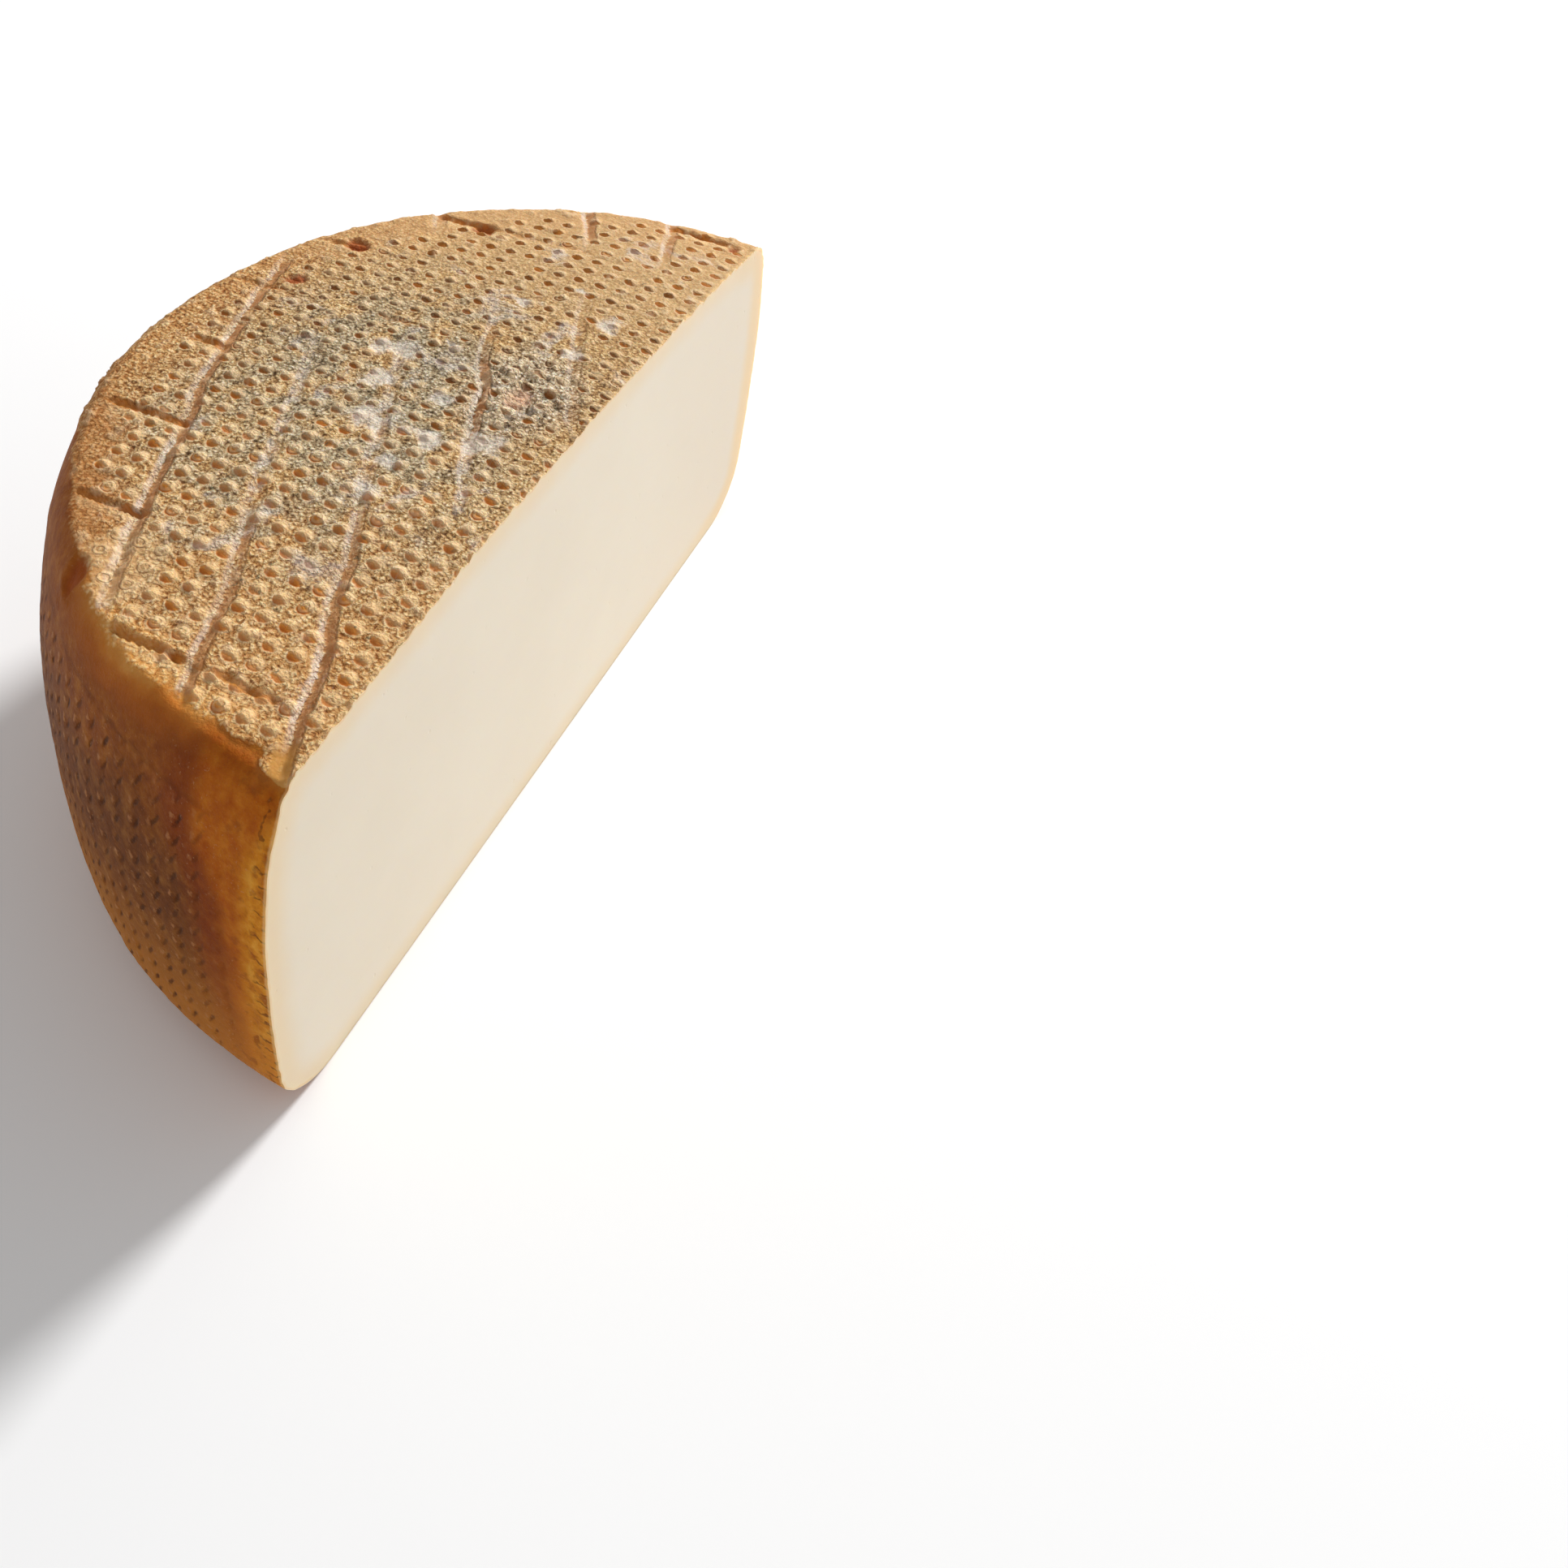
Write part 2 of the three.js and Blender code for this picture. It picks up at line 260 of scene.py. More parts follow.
def section():
    """The section from the axis down to the base: length so far, radius and height, outward normal."""
    flat = np.linspace(0, RIM_RADIUS, 200)
    crown = np.stack([flat, RIM_HEIGHT + CROWN_RISE * (1 - (flat / RIM_RADIUS) ** 2)], 1)
    turn = np.linspace(np.pi / 2, 0, 400)[1:]
    shoulder = np.stack([RIM_RADIUS + (WHEEL_RADIUS - RIM_RADIUS) * np.cos(turn),
                         BELLY_HEIGHT + (RIM_HEIGHT - BELLY_HEIGHT) * np.sin(turn)], 1)
    turn = np.linspace(np.pi / 2, 0, 120)[1:]
    foot = np.stack([FOOT_RADIUS + (WHEEL_RADIUS - FOOT_RADIUS) * np.sin(turn),
                     BELLY_HEIGHT * (1 - np.cos(turn))], 1)
    points = np.concatenate([crown, shoulder, foot])
    length = np.concatenate([[0], np.cumsum(np.hypot(*np.diff(points, axis=0).T))])
    run = np.gradient(points, length, axis=0)
    run /= np.hypot(*run.T)[:, None]
    return length, points, np.stack([-run[:, 1], run[:, 0]], 1)


SECTION = section()
SECTION_END = SECTION[0][-1]


def sink(reach):
    """How far the surface lies under the outline, so that domes and bumps end at it."""
    top = TOP_SINK + CRUST_STEP
    at = [0, 112, 140, SECTION_END - 12, SECTION_END]
    return np.interp(reach, at, [top, top, WALL_SINK, WALL_SINK, 0])


def pattern_point(column, row):
    x = PATTERN_X + COLUMN_PITCH * column + COLUMN_LEAN * row + COLUMN_FAN * column * row
    y = PATTERN_Y + ROW_PITCH * row + ROW_RISE * column + ROW_CROWD * row**2
    return np.stack([x + COLUMN_CROWD * column**3, y + ROW_BEND * column**3], -1)


def pattern_place(points):
    """The column and row, with fractions, at each point of the top."""
    x, y = points.T
    column, row = (x - PATTERN_X) / COLUMN_PITCH, (y - PATTERN_Y) / ROW_PITCH
    for _ in range(PATTERN_SEARCHES):
        column = (x - PATTERN_X - COLUMN_LEAN * row - COLUMN_FAN * column * row
                  - COLUMN_CROWD * column**3) / COLUMN_PITCH
        row = (y - PATTERN_Y - ROW_RISE * column - ROW_CROWD * row**2 - ROW_BEND * column**3) / ROW_PITCH
    return column, row


# ---- Relief and masks of the rind, for points given by their place on the wheel


def crust_edge(reach, direction, place):
    """How far past the crust's border each point lies, the width of the fade, and the crust there."""
    past = reach - by_direction(direction, CRUST_BORDER) - lumps(place, *BORDER_RAGS)
    fade = by_direction(direction, CRUST_FADE)
    return past, fade, smooth(1, -1, past / fade)


def domes(place):
    """Height of the domes and masks that tell of them, and the column and row at each point."""
    flat = place[:, :2]
    stray = np.stack([noise(place, 22, 1), noise(place, 22, 2)], 1)
    column, row = pattern_place(flat + PATTERN_STRAY * stray)
    near_column, near_row = np.round(column), np.round(row)
    centres = pattern_point(near_column, near_row)
    luck = chance(near_column, near_row)

    furthest = by_direction(np.arctan2(*centres.T[::-1]), PATTERN_REACH)
    furthest += 1.8 * noise(np.c_[centres, 0 * luck], 12, 3)
    present = (np.hypot(*centres.T) < furthest) & (luck > MISSING_SHARE)
    for _, line in FOLDS:
        present &= line_distance(centres, line)[0] > FOLD_CLEARANCE
    flattened = smooth(13, 9, np.hypot(flat[:, 0] - FLATTENED[0], (flat[:, 1] - FLATTENED[1]) * 1.3))
    present = present * (1 - 0.75 * flattened)
    worn = np.mod(near_column - SEAM_AT, SEAM_EVERY) < 0.5

    off = np.stack([(column - near_column) * COLUMN_PITCH, (row - near_row) * ROW_PITCH], 1)
    steepward = off @ DOME_STEEP
    aside = np.sqrt(np.maximum((off**2).sum(1) - steepward**2, 0))
    steepward = steepward / np.where(steepward > 0, DOME_STEEP_SHARE, DOME_GENTLE_SHARE)
    away = np.hypot(steepward, aside) + DOME_RAGS * noise(place, 2.2, 18)
    far = smooth(-50, 15, centres[:, 0])
    size = DOME_RADIUS * (LEAST_DOME_SIZE + DOME_SIZE_SPREAD * chance(near_row, near_column))
    size *= 1 - (1 - FAR_DOME_SHARE) * far
    height = DOME_HEIGHT - DOME_HEIGHT_SPREAD * chance(near_column + 0.5, near_row)
    height = np.where(worn, np.minimum(height, WORN_DOME_HEIGHT), height)
    height *= 1 - FAR_LOWER * far - FAR_LOWER * smooth(17, 12, centres[:, 1])
    masks = dict(plain=1 - present, worn=worn.astype(float), luck=luck, flattened=flattened)
    return smooth(1.08, 0.15, away / size) * height * present, masks, column, row


def crease_place(place, line, *strays):
    """How far across and along a straying line each point lies, and the line's length."""
    distance, side, way, length = line_distance(place[:, :2], line)
    return distance * side + lumps(place, *strays), way, length


def nearest_crease(off, across):
    return np.where(np.abs(across) < np.abs(off), across, off)


def no_creases(place):
    """Relief, marks and distance where no crease is."""
    return np.zeros(len(place)), np.zeros(len(place)), np.full(len(place), FAR)


def folds(place, reach):
    """Creases of the cloth: relief, how strong they are, and how far across the nearest a point lies."""
    relief, folded, fold_off = no_creases(place)
    for number, (depths, line) in enumerate(FOLDS):
        across, way, length = crease_place(place, line, (0.5, 7, 40 + number), (0.25, 3, 50 + number))
        ends = smooth(0, 9, way + 1.5) * smooth(0, 9, length - way + 1.5)
        ends *= smooth(*CREASE_SIDES, np.abs(across))
        depth = np.interp(way / length, (0, 0.5, 1), depths) * (0.85 + 0.35 * noise(place, 9, 60 + number))
        width = np.where(across > 0, FOLD_LIT_WIDTH, FOLD_SHADED_WIDTH)
        width = width * (1 + 0.6 * smooth(100, 112, reach))
        relief -= 0.85 * depth * hump(across, width) * ends
        relief += 0.15 * depth * hump(across + 1.9, 0.7) * ends
        folded = np.maximum(folded, ends * np.minimum(depth, DEEPEST_MARK))
        fold_off = nearest_crease(fold_off, across)
    return relief, folded, fold_off


def seams(place):
    """Creases of the mould's seams, told like the folds."""
    relief, seamed, seam_off = no_creases(place)
    for number, (column, low, high, depth) in enumerate(SEAM_CREASES):
        line = pattern_point(column, np.linspace(low, high, 5))
        across, way, length = crease_place(place, line, (0.35, 5, 70 + number), (0.15, 2, 75 + number))
        broken = smooth(-1, 2, way) * smooth(-1, 2, length - way)
        broken *= 0.85 + 0.4 * noise(place, 9, 80 + number)
        upper = across + 0.9 * noise(place, 2.6, 85 + number)
        relief -= 0.75 * depth * smooth(-1.6, -0.2, upper) * smooth(0.6, 0.1, across) * broken
        relief -= 0.3 * depth * smooth(0.15, 0.8, across) * smooth(6, 1, across) * broken
        relief += 0.18 * depth * hump(across + 1.7, 0.7) * broken
        mark = broken * min(depth, DEEPEST_MARK) * smooth(*CREASE_SIDES, np.abs(across))
        seamed = np.maximum(seamed, mark)
        seam_off = nearest_crease(seam_off, across)
    return relief, seamed, seam_off


def scars(place):
    relief, scar = np.zeros(len(place)), np.zeros(len(place))
    for number, (x, y, radius, depth) in enumerate(SCARS, 1):
        away = np.hypot(place[:, 0] - x, place[:, 1] - y) + 1.3 * noise(place, 4, 89 + number)
        hollow = smooth(radius, 0.45 * radius, away)
        relief += -0.8 * depth * hollow + 0.25 * hump(away - radius, 0.8)
        scar = np.maximum(scar, hollow)
    return relief, scar


def mould_patches(place):
    mould = np.zeros(len(place))
    for number, (x, y, radius) in enumerate(MOULD):
        away = np.hypot(place[:, 0] - x, (place[:, 1] - y) * 0.8) + 2.4 * noise(place, 4.5, 100 + number)
        mould = np.maximum(mould, smooth(radius * 1.35, 0.2 * radius, away))
    return mould


def top_relief(reach, direction, place):
    """Relief in mm and masks at points of the top, by distance along the surface and direction."""
    dome, masks, column, row = domes(place)
    past, fade, crust = crust_edge(reach, direction, place)
    fold, folded, fold_off = folds(place, reach)
    seam, seamed, seam_off = seams(place)
    broken, scar = scars(place)
    relief = CRUST_STEP * crust + dome * smooth(0.0, 0.9, crust) + fold + seam + broken
    relief += lumps(place, BROAD_LUMPS, MIDDLE_LUMPS) + crust * lumps(place, *CRUST_LUMPS)

    x, y, radius = CRAGS
    crag = smooth(radius, 0.4 * radius, np.hypot(place[:, 0] - x, (place[:, 1] - y) * 1.3))
    near_border = 0.3 * hump(past + 2.5, 3.0) * (fade < SHARP_FADE)
    flaky = lumps(place, *FLAKE_LUMPS) - 0.35 + 0.45 * np.maximum(near_border, crag)
    flakes = smooth(0.12, 0.3, flaky) * crust
    relief += (0.3 + 0.3 * crag) * flakes + crag * lumps(place, *CRAG_LUMPS)
    torn = smooth(1.8, 0.0, place[:, 1] - CUT_OFFSET) * (reach < RIM_RADIUS + 8)
    relief += TOOTH_HEIGHT * torn * np.maximum(lumps(place * (1, 0, 0), *TEETH), HOLLOW_TEETH)

    masks |= dict(crust=crust, past=past, haze=fade / WIDEST_FADE, folded=folded, fold_off=fold_off,
                  seamed=seamed, seam_off=seam_off, scar=scar, flakes=flakes,
                  mould=mould_patches(place) * crust, crag=crag * crust)
    return relief - sink(reach), masks, np.stack([column, row, 0 * row], 1)


def wall_relief(reach, direction, place):
    """The same for points of the side."""
    column = (WALL_DIRECTION - direction) / WALL_COLUMN + WALL_STRAY * noise(place, 18, 12)
    row = (WALL_HEIGHT - place[:, 2]) / WALL_ROW + WALL_RISE * column + WALL_STRAY * noise(place, 18, 13)
    luck = chance(np.round(column), np.round(row))
    off = np.hypot((column - np.round(column)) * 8, (row - np.round(row)) * 0.55 * WALL_ROW)
    off += 0.35 * noise(place, 2.5, 23)
    dimple = smooth(120, 131, reach) * (0.4 + 0.9 * luck) * smooth(1.5, 0.3, off)
    past, fade, crust = crust_edge(reach, direction, place)
    relief = lumps(place, BROAD_LUMPS, *WALL_LUMPS) + lumps(place, MIDDLE_LUMPS) * smooth(150, 122, reach)
    relief += crust * (CRUST_STEP + lumps(place, *SHOULDER_LUMPS)) - DIMPLE_DEPTH * dimple
    relief *= smooth(SECTION_END, SECTION_END - 10, reach)
    masks = dict(crust=crust, luck=luck, past=past, haze=fade / WIDEST_FADE)
    return relief - sink(reach), masks, np.stack([column, row, 0 * row], 1)


# ---- The mesh


def on_wheel(reach, direction, relief):
    """Points of the wheel's surface, pushed out by the relief."""
    length, points, normals = SECTION
    radius, height = (np.interp(reach, length, part) for part in points.T)
    outward, upward = (np.interp(reach, length, part) for part in normals.T)
    wave = OUT_OF_ROUND * np.sin(OUT_OF_ROUND_LOBES * direction) * smooth(45, 65, radius)
    radius = radius + outward * relief + wave
    return np.stack([radius * np.cos(direction), radius * np.sin(direction), height + upward * relief], 1)


def onto_cut(points):
    """The same points at the same distance from the axis, brought onto the plane of the cut."""
    radius = np.hypot(points[:, 0], points[:, 1])
    points[:, 0] = np.sign(points[:, 0]) * np.sqrt(np.maximum(radius**2 - CUT_OFFSET**2, 0))
    points[:, 1] = CUT_OFFSET
    return points


def cut_angle(radius):
    """Direction in which the plane of the cut lies at a radius."""
    return np.arcsin(np.minimum(CUT_OFFSET / radius, 1))


def direction_at(reach, share):
    """Direction at a share of the way round the half, from the cut at +X to the cut at -X."""
    edge = cut_angle(np.interp(reach, SECTION[0], SECTION[1][:, 0]))
    return edge + share * (np.pi - 2 * edge)


def top_grid():
    """A grid bent to the half disc: distance along the surface, direction and share of the way round."""
    u, v = np.meshgrid(np.linspace(-1, 1, COLUMNS + 1), np.linspace(0, 1, ROWS + 1))
    across, away = u * np.sqrt(1 - v**2 / 2), v * np.sqrt(1 - u**2 / 2)
    y = CUT_OFFSET + away * (TOP_REACH - CUT_OFFSET)
    x = across * np.sqrt((TOP_REACH - CUT_OFFSET) * (TOP_REACH + y) / (1 + away))
    reach, direction = np.hypot(x, y).ravel(), np.arctan2(y, x).ravel()
    edge = cut_angle(reach)
    share = (direction - edge) / np.maximum(np.pi - 2 * edge, 1e-6)
    return reach, np.where(reach > MIDDLE_REACH, direction_at(reach, share), direction), share


def grid_faces(numbers):
    corners = [numbers[:-1, :-1], numbers[:-1, 1:], numbers[1:, 1:], numbers[1:, :-1]]
    return np.stack(corners, -1).reshape(-1, 4)


def face_list(*blocks):
    return [tuple(face) for block in blocks for face in block.tolist()]


def filled(border, inner):
    """Triangles between a closed border and loose points inside it. Indices count the border first."""
    points = [Vector(p) for p in np.concatenate([border, inner])]
    loop = list(range(len(border)))
    _, _, faces, origins, _, _ = delaunay_2d_cdt(points, [], [loop], 1, 1e-7)
    return np.array([[origins[corner][0] for corner in face] for face in faces])


def inside(points, border):
    """True for points inside a closed border, and how far each lies from it."""
    following = np.roll(border, -1, 0)
    within = np.zeros(len(points), bool)
    distance = np.full(len(points), 1e9)
    for (ax, ay), (bx, by) in zip(border, following):
        crosses = (ay > points[:, 1]) != (by > points[:, 1])
        if ay != by:
            within ^= crosses & (points[:, 0] < (bx - ax) * (points[:, 1] - ay) / (by - ay) + ax)
        run = np.array([bx - ax, by - ay])
        along = np.clip(((points - (ax, ay)) @ run) / max(run @ run, 1e-12), 0, 1)
        distance = np.minimum(distance, np.hypot(*(points - (ax, ay) - along[:, None] * run).T))
    return within, distance


def strewn(low, high, step):
    """Points in staggered rows."""
    x, y = np.meshgrid(np.arange(low[0], high[0], step), np.arange(low[1], high[1], step))
    x[::2] += step / 2
    return np.stack([x.ravel(), y.ravel()], 1)


def cut_inner(border):
    """Points of the cut face: closer together near the rind."""
    kept = np.zeros((0, 2))
    for step, nearest, furthest in CUT_STEPS:
        points = strewn(border.min(0), border.max(0), step)
        within, distance = inside(points, border)
        points = points[within & (distance > nearest) & (distance < furthest)]
        if len(kept):
            points = points[[np.min(np.hypot(*(kept - p).T)) > 0.6 * step for p in points]]
        kept = np.concatenate([kept, points])
    return kept


def cut_face(every, loop, start):
    """Points and triangles of the cut face, and how far from the rind each point lies."""
    border = every[loop][:, [0, 2]]
    inner = cut_inner(border)
    points = np.stack([inner[:, 0], 0 * inner[:, 0] + CUT_OFFSET, inner[:, 1]], 1)
    points[:, 1] += 0.05 + 0.05 * noise(points, 9, 21)
    numbers = np.concatenate([loop, start + np.arange(len(inner))])
    return points, numbers[filled(border, inner)], inside(inner, border)[1]


def base_face(every, loop, start):
    """Points and triangles of the underside."""
    border = every[loop][:, :2]
    inner = strewn((border[:, 0].min(), CUT_OFFSET), (border[:, 0].max(), WHEEL_RADIUS), BASE_STEP)
    within, distance = inside(inner, border)
    inner = inner[within & (distance > BASE_MARGIN)]
    flat = np.c_[inner, 0 * inner[:, 0]]
    points = np.c_[inner, 0.1 + 0.1 * noise(flat, 12, 22)]
    numbers = np.concatenate([loop, start + np.arange(len(inner))])
    return points, numbers[filled(border, inner)[:, ::-1]]


def build_half():
    """Points, faces, number of the first face of paste, masks, pattern places and loop round the cut."""
    reach, direction, share = top_grid()
    relief, masks, pattern = top_relief(reach, direction, on_wheel(reach, direction, 0))
    top = on_wheel(reach, direction, relief)
    numbers = np.arange(len(top)).reshape(ROWS + 1, COLUMNS + 1)
    top[numbers[0]] = onto_cut(top[numbers[0]])

    # The side hangs from the top's outermost ring of points, with half as many columns
    ring = np.concatenate([numbers[:, 0], numbers[-1, 1:], numbers[-2::-1, -1]])
    levels = np.linspace(TOP_REACH, SECTION_END, SIDE_ROWS + 1)[1:]
    side_share, side_reach = (part.ravel() for part in np.meshgrid(share[ring[::2]], levels))
    side_direction = direction_at(side_reach, side_share)
    side_place = on_wheel(side_reach, side_direction, 0)
    relief, side_masks, side_pattern = wall_relief(side_reach, side_direction, side_place)
    wall = on_wheel(side_reach, side_direction, relief)
    side = np.arange(len(wall)).reshape(SIDE_ROWS, -1)
    for column in (0, -1):
        wall[side[:, column]] = onto_cut(wall[side[:, column]])
    side += len(top)
    first, foot = side[0], side[-1]
    every = np.concatenate([top, wall])
    rind = len(every)

    sole_line = np.arange(every[foot[0], 0], every[foot[-1], 0], SOLE_STEP)[1:]
    sole = rind + np.arange(len(sole_line))
    every = np.concatenate([every, np.stack([sole_line, 0 * sole_line + CUT_OFFSET, 0 * sole_line], 1)])
    loop = np.concatenate([numbers[0], side[:, -1], sole[::-1], side[::-1, 0]])
    cut, cut_faces, cut_depth = cut_face(every, loop, len(every))
    base_loop = np.concatenate([foot, sole[::-1]])
    base, base_faces = base_face(every, base_loop, len(every) + len(cut))
    cut_from, base_from = len(every), len(every) + len(cut)
    every = np.concatenate([every, cut, base])

    rest = len(every) - rind
    for name in masks:
        usual = USUAL.get(name, 0.0)
        of_side = side_masks.get(name, np.full(len(wall), usual))
        masks[name] = np.concatenate([masks[name], of_side, np.full(rest, usual)])
    masks["depth"] = np.zeros(len(every))
    masks["depth"][cut_from:base_from] = cut_depth
    round_way = np.concatenate([direction, side_direction])
    round_way = np.minimum(np.pi - round_way, round_way) * np.hypot(*every[:rind, :2].T)
    masks["from_cut"] = np.concatenate([round_way - CUT_OFFSET, np.full(rest, AWAY_FROM_CUT)])
    masks["reach"] = np.concatenate([reach, side_reach, np.full(rest, SECTION_END)])
    spot = np.concatenate([pattern, side_pattern, np.zeros((rest, 3))])
    spot[base_from:, :2] = base[:, :2] / WALL_ROW

    corners = ((ring[:-2:2], ring[1::2], first[:-1]), (ring[1::2], first[1:], first[:-1]),
               (ring[1::2], ring[2::2], first[1:]))
    join = [np.stack(three, 1) for three in corners]
    faces = face_list(grid_faces(numbers), *join, grid_faces(side), base_faces)
    return every, faces + face_list(cut_faces), len(faces), masks, spot, loop


def make_half(low, high):
    points, faces, paste_from, masks, spot, loop = build_half()
    points = points - (0, CUT_OFFSET - low[1] / MM, 0)
    points = np.clip(points * MM, low, high)
    mesh = bpy.data.meshes.new("cheese_rind_and_paste")
    mesh.from_pydata(points.tolist(), [], faces)
    mesh.validate()
    for name, values in masks.items():
        mesh.attributes.new(name, "FLOAT", "POINT").data.foreach_set("value", values.astype(np.float32))
    places = mesh.attributes.new("pattern", "FLOAT_VECTOR", "POINT")
    places.data.foreach_set("vector", spot.astype(np.float32).ravel())
    mesh.polygons.foreach_set("use_smooth", np.ones(len(faces), bool))
    kinds = np.zeros(len(faces), np.int32)
    kinds[paste_from:] = 1
    mesh.polygons.foreach_set("material_index", kinds)
    on_loop = np.zeros(len(points), bool)
    on_loop[loop] = True
    ends = np.zeros(len(mesh.edges) * 2, np.int32)
    mesh.edges.foreach_get("vertices", ends)
    sharp = on_loop[ends.reshape(-1, 2)].all(1)
    mesh.attributes.new("sharp_edge", "BOOLEAN", "EDGE").data.foreach_set("value", sharp)
    mesh.update()
    half = bpy.data.objects.new("cheese_half_wheel", mesh)
    bpy.context.scene.collection.objects.link(half)
    return half


# ---- Materials. Three numbers are a colour as a screen shows it, 0 to 255; four are a shader's

# Colours of the crust: where on the way from its hollows to its grains, and each colour in turn. Partly the
# crust's own colour, partly painted shade in the hollows and painted highlight on the grains
GROUND = (0.30, 0.40, 0.52, 0.70)
TAN = GROUND, (94, 62, 32), (160, 118, 72), (202, 163, 110), (243, 216, 168)
GOLD = GROUND, (146, 84, 36), (182, 122, 66), (206, 154, 96), (242, 206, 150)
GREY = GROUND, (66, 54, 38), (124, 108, 82), (172, 156, 126), (226, 214, 190)
CRUMBS = (0.32, 0.42, 0.54, 0.68), (84, 62, 42), (158, 134, 106), (214, 196, 168), (252, 242, 224)
BRIGHT = (0.28, 0.44, 0.60, 0.80), (206, 128, 58), (228, 164, 90), (242, 192, 122), (250, 216, 160)
PALE_AND_HIGHLIGHT = (240, 212, 166)
WOUND = (124, 38, 4), (178, 84, 20)

# Colours of the waxy rind, from its dark to its light mottles
MOTTLE = (0.3, 0.5, 0.7)
MUTED = MOTTLE, (100, 50, 14), (120, 66, 20), (150, 94, 40)
SHOULDER = MOTTLE, (132, 66, 14), (152, 82, 20), (172, 102, 34)
RED = MOTTLE, (122, 50, 6), (138, 63, 10), (154, 78, 18)
ORANGE = MOTTLE, (168, 80, 8), (186, 99, 13), (202, 120, 28)
AMBER = MOTTLE, (176, 92, 10), (216, 136, 28), (238, 172, 64)
# and beside the crust, with the distance from its border in parts of a width in mm
HALO = ((0.0, 0.14, 0.34, 0.56, 0.8),
        (212, 146, 70), (198, 120, 44), (176, 96, 28), (154, 80, 22), (134, 70, 20))
HALO_WIDTH = 16

# What smooths the crust's grain, and how much of it each takes away
SMOOTHERS = dict(bare_and_shaded=0.85, cap_and_highlight=0.35, shaded_groove=0.75, shaded_trench=0.7, calm=0.3, golden=0.2, outer_crust_shade=0.4,
                 corner_furrow=0.8, flattened=0.4, brim=0.4, fluff=0.5)


def tone(red, green, blue):
    """A screen's colour as a shader's."""
    parts = np.array([red, green, blue]) / 255
    linear = np.where(parts <= 0.04045, parts / 12.92, ((parts + 0.055) / 1.055) ** 2.4)
    return (*linear.tolist(), 1.0)


class Wire:
    """A number from a node's socket; arithmetic on wires adds Math nodes."""

    def __init__(self, graph, socket):
        self.graph, self.socket = graph, socket

    def __add__(self, other):
        return self.graph.math("ADD", self, other)

    def __sub__(self, other):
        return self.graph.math("SUBTRACT", self, other)

    def __rsub__(self, other):
        return self.graph.math("SUBTRACT", other, self)

    def __mul__(self, other):
        return self.graph.math("MULTIPLY", self, other)

    def __abs__(self):
        return self.graph.math("ABSOLUTE", self)

    __radd__, __rmul__ = __add__, __mul__


